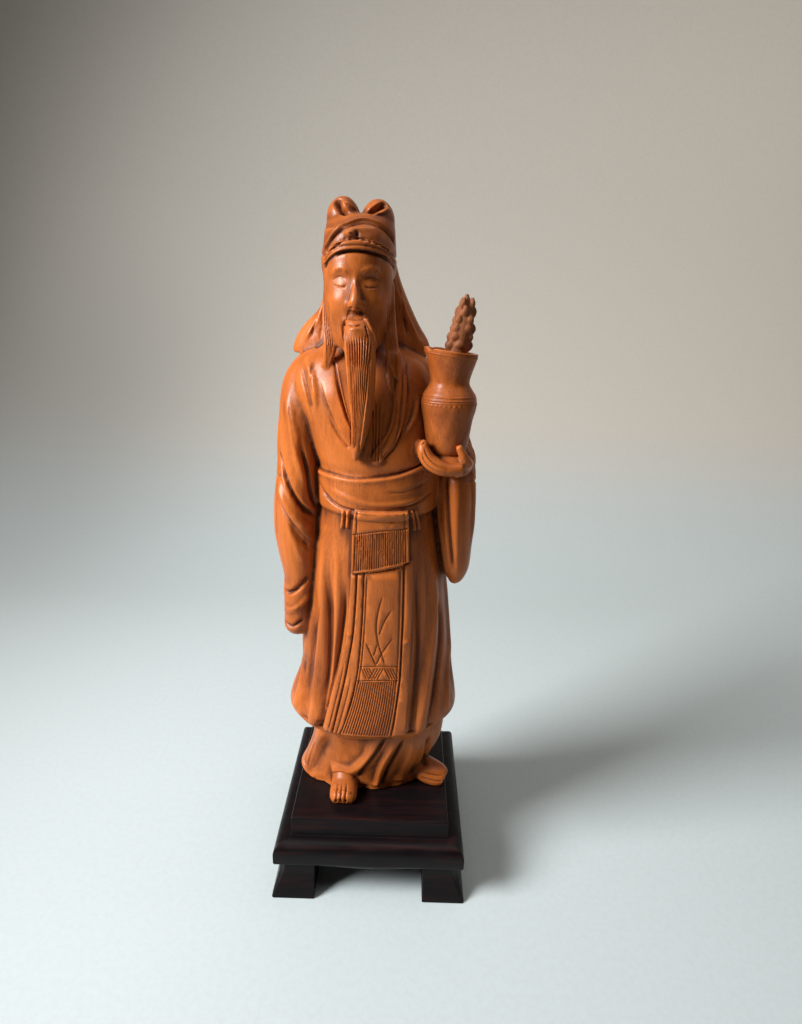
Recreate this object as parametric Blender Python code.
"""A bearded sage carved in boxwood, with a vase in one hand, on a stepped hardwood stand.

The figure, its robe, its hand and the vase are one piece of wood. The flower spike in the vase is a
second piece, and the stand is a moulded board on four feet. +Z is up, the sage faces -Y, and the
origin is in the middle of the stand's footprint on the ground.
"""

import math

import bmesh
import bpy
import numpy as np
from mathutils import Matrix, Vector
from mathutils.bvhtree import BVHTree

# Driving sizes, in metres.
FIGURE_HEIGHT = 0.2167
REST_GAP = 0.0003

VASE_WALL = 0.0017
VASE_BORE_DEPTH = 0.0115
SPIKE_RADIUS = 0.0030

SLAB_HALF_WIDTH = 0.0360
SLAB_HALF_DEPTH = 0.0363
SLAB_THICKNESS = 0.0097
MOULDING_ROUND = 0.0046
UNDER_ROUND = 0.0018
APRON_DROP = 0.0011
FOOT_HEIGHT = 0.0149
FOOT_PROUD = 0.0010
FOOT_PROUD_FRONT = 0.0007
FOOT_REACH = SLAB_HALF_WIDTH + FOOT_PROUD
FOOT_REACH_FRONT = SLAB_HALF_DEPTH + FOOT_PROUD_FRONT
FOOT_WIDTH = 0.0163
FOOT_SPLAY = 0.0026
FOOT_BEVEL = 0.0007
STEP_HALF_WIDTH = 0.0298
STEP_HALF_DEPTH = 0.0304
STEP_HEIGHT = 0.0079

# The figure is drawn on a grid of 216.7 parts to its height, so one part is 1 mm at full size.
GRID = FIGURE_HEIGHT / 216.7
VOXEL = 0.72
FIGURE_TRIANGLES = 7000
SPIKE_TRIANGLES = 640
VASE_SIDES = 24
BOARD_STEPS = 8

FRONT, BACK, LEFT, RIGHT = (0, 1, 0), (0, -1, 0), (1, 0, 0), (-1, 0, 0)


# Curves and lumps


def ease(t):
    t = np.clip(t, 0, 1)
    return t * t * (3 - 2 * t)


def read_between(rows, steps):
    """The rows of a table, with rows read between them on a smooth curve."""
    rows = np.array(rows, float)
    ends = np.vstack([2 * rows[0] - rows[1], rows, 2 * rows[-1] - rows[-2]])
    out = []
    for before, here, there, after in zip(ends, ends[1:], ends[2:], ends[3:]):
        for t in np.arange(steps) / steps:
            cubic = (3 * here - before - 3 * there + after) * t**3
            square = (2 * before - 5 * here + 4 * there - after) * t**2
            out.append(0.5 * (2 * here + (there - before) * t + square + cubic))
    out.append(rows[-1])
    return np.array(out)


def loft(clay, rings):
    """A closed lump through rings of points that all have the same count."""
    made = [[clay.verts.new(point) for point in ring] for ring in rings]
    for low, high in zip(made, made[1:]):
        for i in range(len(low)):
            j = (i + 1) % len(low)
            clay.faces.new((low[i], low[j], high[j], high[i]))
    clay.faces.new(made[0][::-1])
    clay.faces.new(made[-1])


def oval(x, y, z, half_width, half_depth, squareness=2.0, sides=48):
    """A level ring, an ellipse at squareness 2 and boxier above that."""
    turn = np.linspace(0, 2 * math.pi, sides, endpoint=False)
    power = 2 / squareness
    across = np.sign(np.cos(turn)) * np.abs(np.cos(turn)) ** power
    along = np.sign(np.sin(turn)) * np.abs(np.sin(turn)) ** power
    height = np.full(sides, float(z))
    return np.column_stack([x + half_width * across, y + half_depth * along, height])


def level_loft(clay, table, steps=4, squareness=2.0):
    """A lump from rows of z, x, y, half width and half depth."""
    rows = read_between(table, steps)
    loft(clay, [oval(x, y, z, a, b, squareness) for z, x, y, a, b in rows])


def limb(clay, table, steps=5, sides=24):
    """A lump along a path, from rows of x, y, z, half width and half depth square to the path."""
    rows = read_between(table, steps)
    tangents = np.gradient(rows[:, :3], axis=0)
    turn = np.linspace(0, 2 * math.pi, sides, endpoint=False)[:, None]
    rings = []
    for row, tangent in zip(rows, tangents):
        tangent = Vector(tangent).normalized()
        across = Vector((1, 0, 0))
        across = (across - tangent * across.dot(tangent)).normalized()
        deep = np.array(tangent.cross(across))
        wide = row[3] * np.cos(turn) * np.array(across)
        rings.append(row[:3] + wide + row[4] * np.sin(turn) * deep)
    loft(clay, rings)


def ball(clay, centre, radii, rings=14, sides=24):
    """An ellipsoid."""
    x, y, z = centre
    levels = []
    for tilt in np.linspace(-0.5 * math.pi, 0.5 * math.pi, rings + 2)[1:-1]:
        wide, deep = radii[0] * math.cos(tilt), radii[1] * math.cos(tilt)
        levels.append(oval(x, y, z + radii[2] * math.sin(tilt), wide, deep, sides=sides))
    loft(clay, levels)


# The figure's main forms, on the grid, with z from its foot

ROBE = (  # z, x, y, half width, half depth
    (28, -0.7, 1.0, 30.0, 21.0),
    (31, -1.0, 1.0, 32.0, 22.8),
    (36, -0.7, 1.0, 33.2, 23.3),
    (50, 0.6, 1.0, 28.8, 23.0),
    (63, 0.3, 1.0, 28.0, 22.6),
    (80, 0.2, 0.5, 26.2, 22.2),
    (100, 0.0, 0.0, 23.6, 21.8),
    (118, 0.0, -0.5, 20.6, 20.4),
    (131, 0.0, -0.5, 20.7, 20.3),
    (136, -0.5, -0.5, 21.6, 20.6),
    (146, -2.0, 0.0, 23.5, 19.6),
    (157, -4.5, 1.0, 25.6, 18.0),
    (166, -6.0, 2.0, 21.5, 15.0),
    (172, -6.5, 2.0, 12.5, 11.0),
    (180, -7.0, 1.0, 8.5, 8.0),
)
UNDER_ROBE = (
    (-2, -4.3, 2, 26.7, 17.6),
    (0, -4.3, 2, 26.7, 17.6),
    (6, -2.8, 2, 25.4, 17),
    (17, 1.2, 2, 26.4, 18.6),
    (30, 0.8, 1, 27.6, 20),
    (40, 0.5, 1, 27, 20.4),
)
SASH = (
    (117.2, 0.4, -0.4, 20.6, 20.2),
    (118.0, 0.4, -0.4, 21.8, 21.6),
    (124.0, 0.4, -0.4, 22.0, 22.2),
    (130.0, 0.4, -0.4, 22.0, 21.7),
    (131.0, 0.4, -0.4, 20.8, 20.4),
)
HEAD = (
    (169.5, -6.6, -12.0, 4.0, 5.0),
    (172.5, -6.6, -11.0, 7.2, 7.6),
    (178, -6.7, -9.0, 9.4, 10.2),
    (184, -6.8, -7.4, 10.7, 11.8),
    (190, -6.9, -6.4, 11.0, 12.7),
    (197, -7.1, -5.6, 11.2, 13.0),
    (206, -7.2, -5.0, 10.5, 12.0),
)
CAP = (
    (192.5, -7.2, 0, 11.6, 11),
    (195, -7.1, -1.6, 12, 13),
    (198, -7, -3.2, 12, 14.2),
    (201, -6.8, -4, 11.6, 14.3),
    (205, -6.5, -3.6, 11, 13.2),
    (208, -6.6, -2.8, 10.8, 11.0),
    (210, -6.6, -2.2, 9.8, 8.6),
    (211.2, -6.6, -1.8, 7, 5.4),
)
VEIL = (
    (202, -7, 5, 10.6, 8),
    (194, -6.7, 6, 12.5, 8.5),
    (188, -5.8, 7, 14, 8.5),
    (183, -5.4, 7.5, 16, 8.5),
    (178, -6.6, 8, 19.8, 8.5),
    (173, -6.7, 8, 23.1, 9),
    (168.5, -6.8, 8.4, 24, 9.3),
    (166, -6.4, 9.5, 20.5, 9),
    (150, -5.5, 13.5, 16, 7.5),
    (138, -4.5, 14.5, 13, 6.5),
)
RIGHT_SLEEVE = (  # x, y, z, half width, half depth
    (-17, 3, 165, 8, 8.5),
    (-23.4, 3, 158, 9.9, 11),
    (-26.4, 2, 146, 8.9, 12),
    (-27.2, 0.5, 130, 8.0, 12.5),
    (-28, -1, 115, 8.6, 12.5),
    (-27.7, -2, 100, 8.7, 12),
    (-27.4, -3.5, 88, 6.8, 10),
    (-28, -4.2, 83.2, 6.6, 9),
    (-28.3, -4.8, 78.4, 6.1, 8.2),
    (-28.8, -5.6, 72, 5.6, 7.6),
    (-29.4, -6, 68.2, 5, 6.4),
    (-29.6, -6.2, 66, 3, 4),
)
LEFT_SLEEVE = (
    (4, 3, 165, 8, 8.5),
    (15, 3.5, 157, 8.8, 10.5),
    (21.2, 4, 146, 7.8, 11),
    (25.8, 2, 134, 7.4, 11),
    (27.0, -2, 122, 7.4, 11.5),
    (27.7, -4, 110, 6.8, 11),
    (28.8, -5.5, 97, 5.5, 8.8),
    (28.9, -6.2, 91.2, 3.7, 6),
    (28.4, -6.5, 88.4, 1.4, 3),
)
FOREARM = (
    (27.6, 2.0, 132, 6.0, 7.5),
    (27.7, -6.0, 134, 5.5, 7.0),
    (27.3, -12.0, 135.4, 4.9, 4.6),
)
BEARD = (
    (-6.4, -18.0, 180, 3.4, 2.6),
    (-5.7, -20.2, 175, 4.7, 3.6),
    (-5.0, -21.6, 168, 4.7, 4.2),
    (-4.6, -22.4, 158, 4.1, 4.0),
    (-4.9, -22.8, 148, 2.9, 3.6),
    (-5.9, -22.8, 141, 1.8, 2.6),
    (-6.4, -22.4, 137, 0.8, 1.4),
)
FACE_MIDDLE = (-6.9, -17.0, 185.0)
FACE_REACH = (10.5, 7.0, 15.0)
NOSE = (
    (-6.9, -17.2, 194, 1.1, 1.4),
    (-6.9, -18.4, 190, 1.0, 1.5),
    (-6.8, -19.8, 186.5, 1.5, 1.9),
    (-6.8, -20.3, 184.3, 2.0, 2.0),
    (-6.8, -19.2, 182.9, 1.2, 1.2),
)
LOCKS = (
    (
        (-16.3, -7.6, 191, 1.5, 1.4),
        (-16.5, -9.4, 181, 1.8, 1.4),
        (-15.4, -12.4, 172, 2.2, 1.2),
        (-16.6, -11.8, 165, 1.6, 0.8),
        (-17.4, -10.6, 159, 0.7, 0.5),
    ),
    (
        (3.0, -7.6, 191, 1.5, 1.4),
        (3.4, -9.4, 181, 1.8, 1.4),
        (4.2, -12.8, 172, 2.2, 1.2),
        (5.2, -14.8, 162, 1.8, 1.0),
        (6.0, -16.8, 151, 0.8, 0.6),
    ),
)
VASE_AXIS = (23.1, -14.0)
VASE_FOOT = 138.0
VASE_TILT = 1.0
VASE_CORE_INSET = 0.7
VASE_OUTLINE = (  # height above the vase's foot, radius
    (0.0, 5.4),
    (2.0, 6.4),
    (6.5, 7.3),
    (12.0, 8.2),
    (15.4, 8.9),
    (17.8, 8.9),
    (19.8, 8.4),
    (21.4, 7.4),
    (22.8, 6.6),
    (24.2, 6.4),
    (27.0, 6.9),
    (30.0, 7.8),
    (32.3, 8.5),
    (33.3, 8.6),
)


def body_forms(clay):
    rings = [oval(x, y, z, a, b, 2.25, 72) for z, x, y, a, b in read_between(ROBE, 4)]
    turn = np.linspace(0, 2 * math.pi, 72, endpoint=False)
    for i, share in enumerate((1.0, 1.0, 0.9, 0.75, 0.5, 0.3)):
        rings[i][:, 2] += share * (3.2 * np.cos(turn) ** 4 + 0.5 * np.cos(9 * turn))
    loft(clay, rings)
    level_loft(clay, UNDER_ROBE)
    sash = [oval(x, y, z, a, b, 2.2, 72) for z, x, y, a, b in read_between(SASH, 2)]
    for ring in sash:
        ring[:, 2] += 4.4 * ease(np.cos(turn)) * (ring[:, 2] - 117) / 14
    loft(clay, sash)
    for sleeve in (RIGHT_SLEEVE, LEFT_SLEEVE, FOREARM):
        limb(clay, sleeve)


def head_forms(clay):
    level_loft(clay, HEAD)
    limb(clay, NOSE)
    limb(clay, BEARD)
    for lock in LOCKS:
        limb(clay, lock)
    level_loft(clay, CAP, squareness=2.1)
    level_loft(clay, VEIL, squareness=2.2)
    ball(clay, (-12.0, -2.4, 209.6), (5.4, 6.4, 7.0))
    ball(clay, (-1.2, -2.2, 209.0), (5.4, 6.4, 7.1))
    for side in (-1, 1):
        ball(clay, (-6.8 + side * 1.8, -18.8, 184.1), (1.3, 1.6, 1.2), 8, 12)


def hand_forms(clay):
    """The palm under the vase, four fingers up its side, the thumb and the rim of the cuff."""
    ball(clay, (23.6, -13.8, 135.6), (8.2, 8.6, 3.8))
    for i in range(4):
        y = -22.2 + 3.5 * i
        under = (22.0, y, 134.8, 2.5, 2.4)
        bend = (17.4 - 0.2 * i, y + 0.4, 137.2, 2.6, 2.5)
        joint = (15.3 - 0.3 * i, y + 1.2, 140.6, 2.1, 2.1)
        tip = (15.4 - 0.3 * i, y + 2.3 - 0.5 * i, 143.6 - 0.7 * i, 1.2, 1.4)
        limb(clay, ((28.0, y + 1.4, 134.6, 2.2, 2.2), under, bend, joint, tip))
    thumb = ((30.0, -13.0, 135.0, 2.2, 2.2), (29.8, -17.8, 135.8, 2.1, 2.1))
    limb(clay, thumb + ((28.5, -20.4, 138.4, 1.6, 1.6), (26.4, -21.1, 142.2, 1.1, 1.2)))
    rim = ((30.4, -8.6, 139.6, 0.8, 0.8), (32.0, -11.2, 137.4, 0.9, 0.9), (31.6, -14.4, 134.8, 0.9, 0.9))
    limb(clay, rim + ((29.2, -17.0, 132.6, 0.9, 0.9), (25.8, -18.4, 131.4, 0.8, 0.8)))


def foot_forms(clay):
    near = ((-10.6, -2.0, 3.4, 5.0, 5.0), (-10.8, -13.0, 3.0, 5.4, 4.6))
    limb(clay, near + ((-10.9, -20.8, 2.0, 5.4, 3.8), (-10.9, -23.4, 1.2, 4.0, 2.8)))
    far = ((12.0, 3.4, 4.0, 5.0, 5.4), (20.0, -4.4, 3.2, 5.6, 4.8))
    limb(clay, far + ((26.6, -7.8, 2.0, 5.0, 3.8), (29.4, -9.0, 1.2, 3.4, 2.6)))


# Carving a dense skin


class Skin:
    """The points of a dense mesh, and how far the chisel lifts or sinks each of them."""

    def __init__(self, obj):
        self.mesh = obj.data
        self.points = np.empty(len(self.mesh.vertices) * 3)
        self.normals = np.empty(len(self.mesh.vertices) * 3)
        self.mesh.vertices.foreach_get("co", self.points)
        self.mesh.vertices.foreach_get("normal", self.normals)
        self.points = self.points.reshape(-1, 3)
        self.normals = self.normals.reshape(-1, 3)
        self.lift = np.zeros(len(self.points))
        self.tree = BVHTree.FromObject(obj, bpy.context.evaluated_depsgraph_get())

    def laid(self, path, side=FRONT, steps=6):
        """A smooth line of x, z (or y, z from the sides) laid on the surface that faces one side."""
        line = []
        for across, up in read_between(path, steps):
            start = (across, -90 * side[1], up) if side[1] else (-90 * side[0], across, up)
            hit = self.tree.ray_cast(Vector(start), Vector(side))[0]
            if hit is not None:
                line.append(hit)
        return np.array(line)

    def stroke(self, path, width, height, side=FRONT, form="ridge", fade=(0.25, 0.25), edge=0.6):
        """Carves along a line: a ridge, a vee, or a flat band, with the width at its start and end."""
        line = self.laid(path, side)
        if len(line) < 2:
            return
        first, last = width if isinstance(width, tuple) else (width, width)
        reach = max(first, last) + edge
        near = (self.points > line.min(axis=0) - reach) & (self.points < line.max(axis=0) + reach)
        index = np.nonzero(near.all(axis=1))[0]
        points = self.points[index]
        gap = np.full(len(index), 1e9)
        along = np.zeros(len(index))
        for i, (start, end) in enumerate(zip(line, line[1:])):
            step = end - start
            t = np.clip((points - start) @ step / max(step @ step, 1e-9), 0, 1)
            distance = np.linalg.norm(points - start - t[:, None] * step, axis=1)
            closer = distance < gap
            gap[closer] = distance[closer]
            along[closer] = (i + t[closer]) / (len(line) - 1)
        wide = first + (last - first) * along
        strength = ease(along / fade[0]) if fade[0] else 1.0
        strength = strength * (ease((1 - along) / fade[1]) if fade[1] else 1.0)
        if form == "ridge":
            shape = 0.5 + 0.5 * np.cos(math.pi * np.clip(gap / wide, 0, 1))
        elif form == "vee":
            shape = np.clip(1 - gap / wide, 0, 1)
        else:
            shape = ease((wide - gap) / edge + 0.5)
        self.lift[index] += height * strength * shape

    def fan(self, top, bottom, count, width, height, bow=0.0, **options):
        """Strokes spread evenly from one line to another, bowed sideways in the middle."""
        top, bottom = np.array(top, float), np.array(bottom, float)
        for t in (np.arange(count) + 0.5) / count:
            start = top[0] + (top[1] - top[0]) * t
            end = bottom[0] + (bottom[1] - bottom[0]) * t
            middle = 0.5 * (start + end) + (bow, 0)
            self.stroke((start, middle, end), width, height, **options)

    def strip(self, left, right, height, edge=0.6):
        """Raises what faces the front between two lines of x, z points that run down side by side."""
        left, right = read_between(left, 6), read_between(right, 6)
        x, z = self.points[:, 0], self.points[:, 2]
        inside = x - np.interp(z, left[::-1, 1], left[::-1, 0])
        inside = np.minimum(inside, np.interp(z, right[::-1, 1], right[::-1, 0]) - x)
        for end, downward in ((0, 1), (-1, -1)):
            (near, low), (far, high) = left[end], right[end]
            level = low + (x - near) * (high - low) / (far - near)
            inside = np.minimum(inside, downward * (level - z))
        facing = ease((-self.normals[:, 1] - 0.1) / 0.3)
        self.lift += height * ease(inside / edge + 0.5) * facing

    def bump(self, place, radii, height, side=FRONT):
        """A soft swelling, or a hollow with a minus height, round one spot."""
        spots = self.laid((place, np.array(place) + 0.01), side, 1)
        if len(spots):
            offset = (self.points - spots[0]) / np.array(radii)
            self.lift += height * np.exp(-np.sum(offset**2, axis=1))

    def settle(self):
        """Moves the points by what has been carved."""
        self.points += self.normals * self.lift[:, None]
        self.mesh.vertices.foreach_set("co", self.points.ravel())
        self.mesh.update()
        bpy.context.view_layer.update()


def dense_skin(name, clay, voxel, wear):
    """Fuses overlapping lumps into one skin of small faces and wears its creases a little."""
    mesh = bpy.data.meshes.new(name)
    clay.to_mesh(mesh)
    clay.free()
    rough = bpy.data.objects.new(name + "_rough", mesh)
    bpy.context.collection.objects.link(rough)
    fuse = rough.modifiers.new("Fuse", "REMESH")
    fuse.mode = "VOXEL"
    fuse.voxel_size = voxel
    soften = rough.modifiers.new("Wear", "SMOOTH")
    soften.factor = 0.5
    soften.iterations = wear
    skin = baked(rough, name)
    drop_loose(skin.data)
    return skin


def drop_loose(mesh):
    """Leaves the largest closed skin of a mesh and drops any small one, such as a sealed void."""
    edges = np.empty(len(mesh.edges) * 2, np.int64)
    mesh.edges.foreach_get("vertices", edges)
    start, end = edges.reshape(-1, 2).T
    label = np.arange(len(mesh.vertices))
    while True:
        lowest = np.minimum(label[start], label[end])
        fresh = label.copy()
        np.minimum.at(fresh, start, lowest)
        np.minimum.at(fresh, end, lowest)
        fresh = fresh[fresh]
        if np.array_equal(fresh, label):
            break
        label = fresh
    loose = np.nonzero(label != np.bincount(label).argmax())[0]
    if len(loose):
        clay = bmesh.new()
        clay.from_mesh(mesh)
        clay.verts.ensure_lookup_table()
        bmesh.ops.delete(clay, geom=[clay.verts[i] for i in loose], context="VERTS")
        clay.to_mesh(mesh)
        clay.free()


def baked(obj, name):
    """Replaces an object by one that holds what its modifiers make of it."""
    bpy.context.view_layer.update()
    graph = bpy.context.evaluated_depsgraph_get()
    mesh = bpy.data.meshes.new_from_object(obj.evaluated_get(graph))
    bpy.data.objects.remove(obj)
    fresh = bpy.data.objects.new(name, mesh)
    bpy.context.collection.objects.link(fresh)
    bpy.context.view_layer.update()
    return fresh


# What is carved in the figure


def carve_folds(skin):
    """The broad folds of the robe and of the robe under it."""
    for path, width, height in (
        (((-16.6, 104), (-15.9, 76), (-16.8, 52), (-19.4, 30)), 2.9, -1.9),
        (((-18.8, 90), (-22.6, 63), (-25.8, 42), (-26.4, 32)), 3.2, -1.0),
        (((-9.6, 96), (-10.6, 80), (-13.0, 62), (-17.0, 40)), 1.7, -1.0),
        (((-13.4, 114), (-12.8, 86), (-14.4, 60), (-20.0, 34)), 2.4, 0.9),
        (((-18.0, 112), (-19.0, 86), (-20.6, 60), (-23.0, 31)), 3.4, 0.9),
        (((-22.0, 84), (-26.4, 58), (-30.2, 35)), 3.4, 0.9),
        (((17.0, 112), (21.6, 84), (20.6, 58), (17.6, 30)), 3.4, 1.2),
        (((14.2, 108), (15.8, 80), (16.2, 60), (14.6, 30)), 2.3, -1.3),
        (((22.0, 86), (24.6, 72), (24.2, 56), (21.6, 31)), 2.5, -1.3),
        (((27.0, 84), (28.2, 60), (28.4, 36)), 3.0, 0.9),
    ):
        skin.stroke(path, width, height, fade=(0.3, 0.02))
    for side, first, last, height in ((BACK, -13, 13, 1.3), (LEFT, -2, 9, 1.0), (RIGHT, -2, 9, 1.0)):
        top, bottom = ((first, 112), (last, 112)), ((first * 2, 32), (last * 2, 34))
        skin.fan(top, bottom, 5, 3.2, height, side=side)
    for path, width, height in (
        (((-19.0, 29), (-23.0, 13), (-28.6, 1)), 4.6, 2.2),
        (((-23.0, 20), (-25.4, 11), (-27.4, 2)), 1.6, -0.9),
        (((3.0, 29), (-1.4, 17), (-8.0, 9.4), (-17.0, 7.2)), 4.2, 1.7),
        (((5.5, 28.3), (0.0, 17.0), (-5.8, 6.0)), 1.5, -1.6),
        (((10.2, 28), (4.2, 13.4), (1.5, 1.0)), 2.6, 1.5),
        (((12.6, 27), (7.2, 12.6), (3.8, 1.5)), 1.5, -1.6),
        (((17.4, 28), (14.6, 14), (10.6, 1.5)), 4.4, 1.3),
        (((22.1, 24), (20.9, 6)), 2.0, -1.0),
    ):
        skin.stroke(path, width, height, fade=(0.25, 0.08))
    for x, depth in ((-20.0, -1.1), (-3.4, -1.9), (7.4, -0.9)):
        skin.bump((x, 0.6), (2.8, 4.0, 1.7), depth)
    skin.fan(((-14, 26), (14, 26)), ((-22, 1), (20, 1)), 5, 2.8, 1.2, side=BACK)


def carve_sleeves(skin):
    """The sleeves' folds and the folds of the cloth behind the head."""
    skin.stroke(((-34.5, 137), (-31.4, 126.7), (-26.5, 118.5), (-20.8, 112.3)), (1.6, 2.0), -1.7)
    skin.stroke(((-35.6, 133), (-32.8, 121), (-27.5, 113.4), (-22.5, 107.5)), (2.4, 2.8), 1.3)
    skin.stroke(((-27.0, 142), (-24.4, 131.3), (-23.0, 122.5), (-21.2, 115)), 1.6, -1.1)
    skin.stroke(((-31.5, 158), (-29.0, 146), (-26.6, 134), (-23.0, 122)), 2.6, 0.9)
    skin.stroke(((-26.2, 167), (-22.8, 157), (-21.2, 150)), 1.6, -0.6)
    skin.stroke(((-24.2, 168), (-20.9, 160), (-19.6, 151)), 1.8, 0.9)
    skin.stroke(((-35.0, 122), (-31.0, 113), (-26.0, 106), (-22.0, 101)), 2.2, -0.9)
    skin.stroke(((-36.0, 85.6), (-31.6, 84.4), (-27.0, 87.6), (-23.0, 93)), 1.7, -1.2)
    skin.stroke(((-35.4, 79.4), (-31.0, 77.6), (-26.6, 80.4), (-23.5, 85)), 1.9, 0.7)
    skin.stroke(((-35.0, 72.6), (-30.4, 71.0), (-25.6, 75.0)), 1.4, -0.7)
    skin.stroke(((20.8, 131), (22.2, 114), (26, 91)), 1.6, 0.6, fade=(0.1, 0.1))
    skin.stroke(((23.6, 131), (25.2, 113), (28.0, 94)), 1.5, -0.8, fade=(0.1, 0.2))
    skin.stroke(((27.2, 131), (27.8, 113), (28.8, 95)), (3.2, 1.6), 0.8, fade=(0.1, 0.2))
    skin.fan(((-4, 150), (7, 150)), ((-8, 95), (4, 95)), 3, 2.6, 0.9, side=LEFT)
    skin.fan(((-6, 150), (7, 150)), ((-11, 100), (2, 100)), 3, 2.6, 0.9, side=RIGHT)
    skin.stroke(((-17.5, 190), (-21, 180), (-27, 171)), 1.5, 0.8)
    skin.stroke(((5.4, 190), (8.6, 181), (13.5, 172)), 1.5, 0.8)
    skin.fan(((-14, 196), (0, 196)), ((-24, 172), (10, 172)), 5, 1.9, 0.9, side=BACK)
    skin.fan(((-22, 168), (8, 168)), ((-16, 141), (6, 141)), 5, 2.0, 0.9, side=BACK)


# Where the cloths hang from the sash, as x, z: the flap, the long panel's field and its side bands
FLAP_LEFT = ((-6.6, 119.8), (-7.2, 111.6), (-7.5, 97.2))
FLAP_RIGHT = ((10.7, 119.8), (11.1, 110.0), (11.5, 101.4))
FIELD_LEFT = ((-3.0, 98.3), (-3.6, 80), (-4.6, 64), (-5.8, 54), (-7.2, 46.3), (-9.4, 38.3), (-11.6, 31.6))
FIELD_RIGHT = ((9.7, 101.1), (9.9, 80), (9.7, 64), (9.4, 54.3), (8.8, 48), (7.9, 38.9), (6.8, 31.4))
SLATS = (
    (
        ((-7.7, 97.1), (-8.3, 86), (-9.2, 73.5), (-11.4, 62), (-13.8, 51), (-18.2, 31.6)),
        ((-5.9, 97.5), (-6.4, 86), (-7.3, 73.5), (-9.0, 62), (-10.9, 51), (-15.0, 31.6)),
    ),
    (
        ((-5.4, 97.6), (-5.9, 86), (-6.8, 73.5), (-8.5, 62), (-10.4, 51), (-14.5, 31.6)),
        ((-3.4, 98.1), (-4.0, 80), (-5.0, 64), (-6.2, 54), (-9.8, 38.3), (-12.0, 31.6)),
    ),
    (
        ((10.2, 100.9), (10.4, 80), (10.2, 64), (9.9, 54.3), (8.4, 38.9), (7.3, 31.6)),
        ((12.9, 101.4), (13.2, 86), (13.2, 72), (13.2, 56), (12.6, 39.3), (12.0, 31.6)),
    ),
)


def carve_chest(skin):
    """The crossed collars, the sash's creases and what hangs from the sash."""
    edge = ((-18.5, 171), (-16.5, 162), (-12, 151), (-5, 139.5))
    skin.stroke(edge, (2.6, 2.0), 0.9, form="flat", fade=(0.1, 0))
    skin.stroke(((-14.7, 167.3), (-11.9, 157.6), (-8.0, 146.5)), 0.9, -0.9)
    skin.stroke(((-16.4, 151.5), (-12.9, 145.0), (-8.0, 139.6)), 0.9, -0.9, fade=(0.3, 0.1))
    edge = ((4.6, 172), (7.4, 160), (6.2, 147), (0.3, 137.6))
    skin.stroke(edge, (2.4, 1.8), 0.9, form="flat", fade=(0.1, 0))
    skin.stroke(((10.6, 168), (12.0, 157), (10.2, 146), (4.8, 138)), (1.4, 1.0), 0.8)
    skin.fan(((-0.6, 153), (2.4, 155)), ((-1.2, 139), (0.8, 139)), 3, 0.7, -0.7, fade=(0.2, 0))
    skin.stroke(((-20, 129.5), (-10, 122.5), (3, 119.8), (20.5, 124)), 1.5, -0.8, fade=(0.15, 0.15))
    skin.stroke(((-18, 131), (-8, 126.5), (5, 124.0), (20.5, 129)), 1.2, -0.6)
    skin.strip(FLAP_LEFT, FLAP_RIGHT, 1.5)
    skin.strip(FIELD_LEFT, FIELD_RIGHT, 1.1)
    band = {"form": "flat", "fade": (0, 0)}
    skin.stroke(((-11.5, 118.5), (-11.8, 113.5)), 0.8, 1.0, **band)
    skin.stroke(((13.6, 118.8), (14.2, 113.8)), 0.8, 1.0, **band)
    for left, right in SLATS:
        skin.strip(left, right, 1.0)


def carve_trims(skin):
    """The edges within the hanging pieces, the fringes and the beard's strands."""
    line = {"fade": (0, 0)}
    skin.stroke(((-7.9, 110.2), (1.5, 111.6), (11.2, 114)), 0.8, -0.8, **line)
    top, bottom = ((-7.0, 109), (11.0, 112.5)), ((-7.4, 98.6), (11.4, 102))
    skin.fan(top, bottom, 9, 0.8, -0.7, fade=(0.1, 0))
    skin.stroke(((-5.0, 53.2), (1.5, 54.5), (9.0, 54)), 0.8, -0.7, **line)
    skin.fan(((-5.4, 52), (8.6, 53)), ((-11.0, 33), (6.2, 33)), 7, 0.8, -0.7, fade=(0.1, 0))
    top, bottom = ((-9.0, 172), (-1.0, 172)), ((-7.2, 139), (-5.2, 139))
    skin.fan(top, bottom, 6, (0.9, 0.5), -0.8, fade=(0.15, 0))


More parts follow.
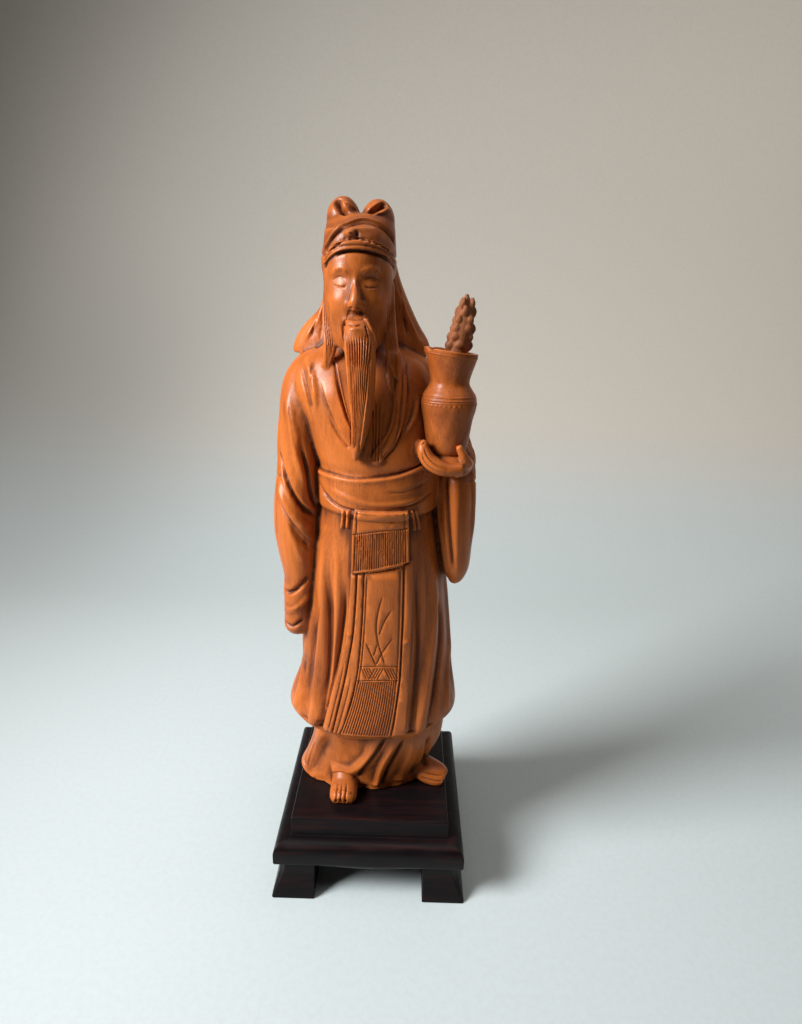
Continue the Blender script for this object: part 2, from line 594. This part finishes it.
def carve_head(skin):
    """The face on plain proportions, with the eyes lowered, and the cap's bands and hollows."""
    middle = -6.9
    for side in (-1, 1):
        skin.bump((middle + side * 4.8, 190.4), (3.2, 4.0, 2.3), -1.5)
        skin.bump((middle + side * 4.9, 190.0), (2.3, 3.0, 1.3), 1.2)
        skin.bump((middle + side * 6.4, 185.6), (3.4, 4.0, 3.0), 0.7)
        skin.bump((middle + side * 6.2, 178.6), (2.6, 4.0, 2.6), -0.6)
        brow, lid, whisker = (
            [(middle + side * across, up) for across, up in line]
            for line in (
                ((1.8, 193.0), (4.8, 194.4), (8.2, 192.6)),
                ((2.7, 189.6), (4.8, 188.9), (7.2, 189.6)),
                ((0.6, 181.6), (3.2, 180.2), (4.8, 176.0)),
            )
        )
        skin.stroke(brow, 1.6, 0.7)
        skin.stroke(lid, 0.6, -0.6)
        skin.stroke(whisker, (1.4, 0.9), 1.0, fade=(0.05, 0.4))
    skin.stroke(((middle - 2.2, 178.4), (middle, 178.1), (middle + 2.2, 178.4)), 0.8, -0.8)
    skin.bump((middle, 176.8), (2.0, 3.0, 0.9), 0.5)
    band = ((-18.9, 197.0), (-13.5, 199.6), (-6.9, 200.9), (-0.4, 199.6), (5.1, 197.0))
    skin.stroke(band, 1.3, 0.8, form="flat", fade=(0, 0))
    skin.stroke(np.array(band) + (0.0, 2.4), 0.7, -0.6, fade=(0.1, 0.1))
    arch = ((-17.6, 201.8), (-13.4, 206.4), (-5.6, 208.4), (1.6, 206.0), (5.0, 202.0))
    skin.stroke(arch, 1.1, 0.9)
    skin.bump((-8.4, 203.8), (1.5, 2.0, 1.3), 1.2)
    skin.stroke(((-13.2, 213.8), (-12.0, 211.9), (-9.8, 210.0)), 1.8, -2.0, fade=(0, 0.2))
    skin.stroke(((-3.2, 211.4), (-0.4, 213.1)), 1.8, -2.2, fade=(0.1, 0))


def carve_toes(skin):
    for x in (-13.2, -11.4, -9.6):
        skin.stroke(((x, 6.4), (x, 3.6), (x, 1.0)), 0.7, -0.8, fade=(0.2, 0.1))
    for z in (1.9, 4.0):
        skin.stroke(((19, z + 1), (24, z + 0.6), (29, z)), 0.7, -0.7)


# Pieces


def wood(name, colour, roughness):
    material = bpy.data.materials.new(name)
    material.use_nodes = True
    shader = material.node_tree.nodes["Principled BSDF"]
    shader.inputs["Base Color"].default_value = (*colour, 1)
    shader.inputs["Roughness"].default_value = roughness
    shader.inputs["Metallic"].default_value = 0.0
    return material


def on_stand():
    """From the grid to metres, on top of the stand."""
    base = FOOT_HEIGHT + SLAB_THICKNESS + STEP_HEIGHT + REST_GAP
    return Matrix.Translation((0, 0, base)) @ Matrix.Scale(GRID, 4)


def thinned(obj, triangles, name, coarseness=None):
    """Keeps a skin's main facets and drops the rest, less of them where the coarseness is low."""
    count = sum(len(face.vertices) - 2 for face in obj.data.polygons)
    fewer = obj.modifiers.new("Facets", "DECIMATE")
    fewer.ratio = min(1.0, triangles / count)
    fewer.use_collapse_triangulate = True
    if coarseness is not None:
        group = obj.vertex_groups.new(name="coarseness")
        for i, weight in enumerate(coarseness):
            group.add([i], float(weight), "REPLACE")
        fewer.vertex_group = group.name
        fewer.vertex_group_factor = 1.0
    return baked(obj, name)


def shape(name, build, transform):
    """An object from what a function adds to an empty mesh."""
    clay = bmesh.new()
    build(clay)
    mesh = bpy.data.meshes.new(name)
    clay.to_mesh(mesh)
    clay.free()
    mesh.transform(transform)
    obj = bpy.data.objects.new(name, mesh)
    bpy.context.collection.objects.link(obj)
    return obj


def combine(obj, other, operation):
    """Joins or cuts with a helper that isn't itself part of the object."""
    other.hide_render = True
    other.display_type = "WIRE"
    step = obj.modifiers.new(other.name, "BOOLEAN")
    step.operation = operation
    step.object = other
    step.solver = "EXACT"


def vase_form(clay, shrink=0.0):
    x, y = VASE_AXIS
    rings = []
    for up, radius in read_between(VASE_OUTLINE, 2):
        radius -= shrink
        ring = oval(x, y, VASE_FOOT + up, radius, radius, sides=VASE_SIDES)
        ring[:, 2] -= VASE_TILT * ease(up / 12 - 1.7) * (ring[:, 0] - x) / radius
        rings.append(ring)
    loft(clay, rings)


def bore_form(clay):
    """The vase's hollow: the outline less the wall, and no wider below the neck than in it."""
    x, y = VASE_AXIS
    top = VASE_OUTLINE[-1][0]
    heights = np.linspace(top, top - VASE_BORE_DEPTH / GRID, 7)
    outer = np.interp(heights, *np.array(VASE_OUTLINE).T)
    radii = np.minimum.accumulate(outer - VASE_WALL / GRID)
    rings = [oval(x, y, VASE_FOOT + up, r, r, sides=VASE_SIDES) for up, r in zip(heights, radii)]
    above = oval(x, y, VASE_FOOT + top + 4, radii[0] + 1.2, radii[0] + 1.2, sides=VASE_SIDES)
    loft(clay, rings[::-1] + [above])


def below_form(clay):
    loft(clay, [oval(0, 0, -8, 60, 60), oval(0, 0, 0, 60, 60)])


def coarseness(points):
    """How freely facets may be dropped: least on the face, more on the front, most on the back."""
    face = np.linalg.norm((points - FACE_MIDDLE) / FACE_REACH, axis=1)
    behind = ease((points[:, 1] + 2) / 8)
    return 0.25 + 0.45 * ease(face - 0.8) + 0.3 * behind


def make_figure(material):
    clay = bmesh.new()
    for forms in (body_forms, head_forms, hand_forms, foot_forms):
        forms(clay)
    vase_form(clay, VASE_CORE_INSET)
    obj = dense_skin("figure", clay, VOXEL, 2)
    for layers in ((carve_folds, carve_sleeves), (carve_chest, carve_head, carve_toes), (carve_trims,)):
        skin = Skin(obj)
        for carve in layers:
            carve(skin)
        skin.settle()
    obj = thinned(obj, FIGURE_TRIANGLES, "figure", coarseness(skin.points))
    obj.data.transform(on_stand())
    combine(obj, shape("vase", vase_form, on_stand()), "UNION")
    combine(obj, shape("vase_bore", bore_form, on_stand()), "DIFFERENCE")
    combine(obj, shape("below", below_form, on_stand()), "DIFFERENCE")
    obj.data.materials.clear()
    obj.data.materials.append(material)


def make_spike(material):
    """A flower spike of overlapping scales that leans in the vase's mouth."""
    foot = VASE_FOOT + VASE_OUTLINE[-1][0] - (VASE_BORE_DEPTH - REST_GAP) / GRID
    stem = SPIKE_RADIUS / GRID
    path = (
        (23.7, -14.0, foot, stem, stem),
        (24.6, -14.0, 168.0, stem, stem),
        (25.7, -14.0, 174.5, 2.9, 2.8),
        (26.6, -14.0, 179.0, 2.3, 2.3),
        (27.0, -14.0, 184.0, 1.2, 1.2),
        (27.0, -14.0, 188.3, 0.4, 0.4),
    )
    clay = bmesh.new()
    limb(clay, path)
    axis = read_between(path, 8)
    for row in range(6):
        height = 171.6 + 2.5 * row
        x, y, _, wide, _ = [np.interp(height, axis[:, 2], column) for column in axis.T]
        count = 5 if row < 3 else 4
        size = 1 - 0.09 * row
        for i in range(count):
            turn = 2 * math.pi * (i + 0.5 * (row % 2)) / count + 0.3 * math.sin(2.3 * row + i)
            out = np.array((math.cos(turn), math.sin(turn), 0.0))
            low = np.array((x, y, height)) + out * wide * 0.75
            tip = low + out * size + (0.25, 0, 3.4)
            middle = 0.5 * (low + tip) + out * 0.45
            limb(clay, ((*low, 1.2, 0.8), (*middle, 1.5 * size, 0.7), (*tip, 0.3, 0.3)), 3, 10)
    obj = thinned(dense_skin("spike", clay, 0.3, 1), SPIKE_TRIANGLES, "spike")
    obj.data.transform(on_stand())
    obj.data.materials.clear()
    obj.data.materials.append(material)


def square_ring(half_width, half_depth, z, sides, drop=0.0, span=1.0):
    """A square ring of points, its sides dropped in the middle over a share of their length."""
    corners = ((1, -1), (1, 1), (-1, 1), (-1, -1))
    ring = []
    for i, (x, y) in enumerate(corners):
        next_x, next_y = corners[(i + 1) % 4]
        for t in np.arange(sides) / sides:
            share = min(1.0, abs(2 * t - 1) / span)
            sink = drop * 0.5 * (1 + math.cos(math.pi * share))
            across, along = x + (next_x - x) * t, y + (next_y - y) * t
            ring.append((half_width * across, half_depth * along, z - sink))
    return ring


def board_form(clay):
    """The moulded board of the stand with the raised step on it."""
    bottom, top = FOOT_HEIGHT, FOOT_HEIGHT + SLAB_THICKNESS
    between_feet = 1 - FOOT_WIDTH / SLAB_HALF_WIDTH

    def ring(inset, z, drop=0.0):
        wide, deep = SLAB_HALF_WIDTH - inset, SLAB_HALF_DEPTH - inset
        return square_ring(wide, deep, z, BOARD_STEPS, drop, between_feet)

    rings = [ring(0.006, bottom)]
    for turn in np.linspace(0, 0.5 * math.pi, 4):
        inset, up = UNDER_ROUND * (1 - math.sin(turn)), UNDER_ROUND * (1 - math.cos(turn))
        rings.append(ring(inset, bottom + up, APRON_DROP * math.cos(turn)))
    for turn in np.linspace(0, 0.5 * math.pi, 5):
        inset = MOULDING_ROUND * (1 - math.cos(turn))
        rings.append(ring(inset, top - MOULDING_ROUND * (1 - math.sin(turn))))
    for inset, up in ((0.0, 0.0), (0.0, STEP_HEIGHT - 0.0003), (0.0003, STEP_HEIGHT)):
        wide, deep = STEP_HALF_WIDTH - inset, STEP_HALF_DEPTH - inset
        rings.append(square_ring(wide, deep, top + up, BOARD_STEPS))
    loft(clay, rings)


def foot_form(clay, x, y):
    """A corner foot whose two outer faces splay towards the ground."""
    near, deeper = FOOT_REACH - FOOT_WIDTH, FOOT_REACH_FRONT - FOOT_REACH
    rings = []
    for share in (0.0, 0.05, 0.6, 0.72, 1.0):
        reach = FOOT_REACH - FOOT_SPLAY * np.interp(share, (0.05, 0.6, 0.72), (0.0, 0.9, 1.0))
        cut = reach - FOOT_BEVEL
        inner = ((near, near), (cut, near), (reach, near + FOOT_BEVEL))
        outline = inner + ((reach, cut), (cut, reach), (near, reach))
        ring = [(x * a, y * (b + deeper), share * (FOOT_HEIGHT - REST_GAP)) for a, b in outline]
        rings.append(ring if x * y > 0 else ring[::-1])
    loft(clay, rings)


def make_stand(material):
    shape("stand_top", board_form, Matrix()).data.materials.append(material)
    for depth, y in (("front", -1), ("back", 1)):
        for hand, x in (("left", -1), ("right", 1)):
            foot = shape(f"foot_{depth}_{hand}", lambda clay: foot_form(clay, x, y), Matrix())
            foot.data.materials.append(material)


def main():
    for obj in list(bpy.data.objects):
        bpy.data.objects.remove(obj)
    make_figure(wood("boxwood", (0.42, 0.16, 0.05), 0.4))
    make_spike(wood("boxwood_spike", (0.25, 0.12, 0.05), 0.5))
    make_stand(wood("stand_hardwood", (0.02, 0.008, 0.008), 0.3))


if __name__ == "__main__":
    main()
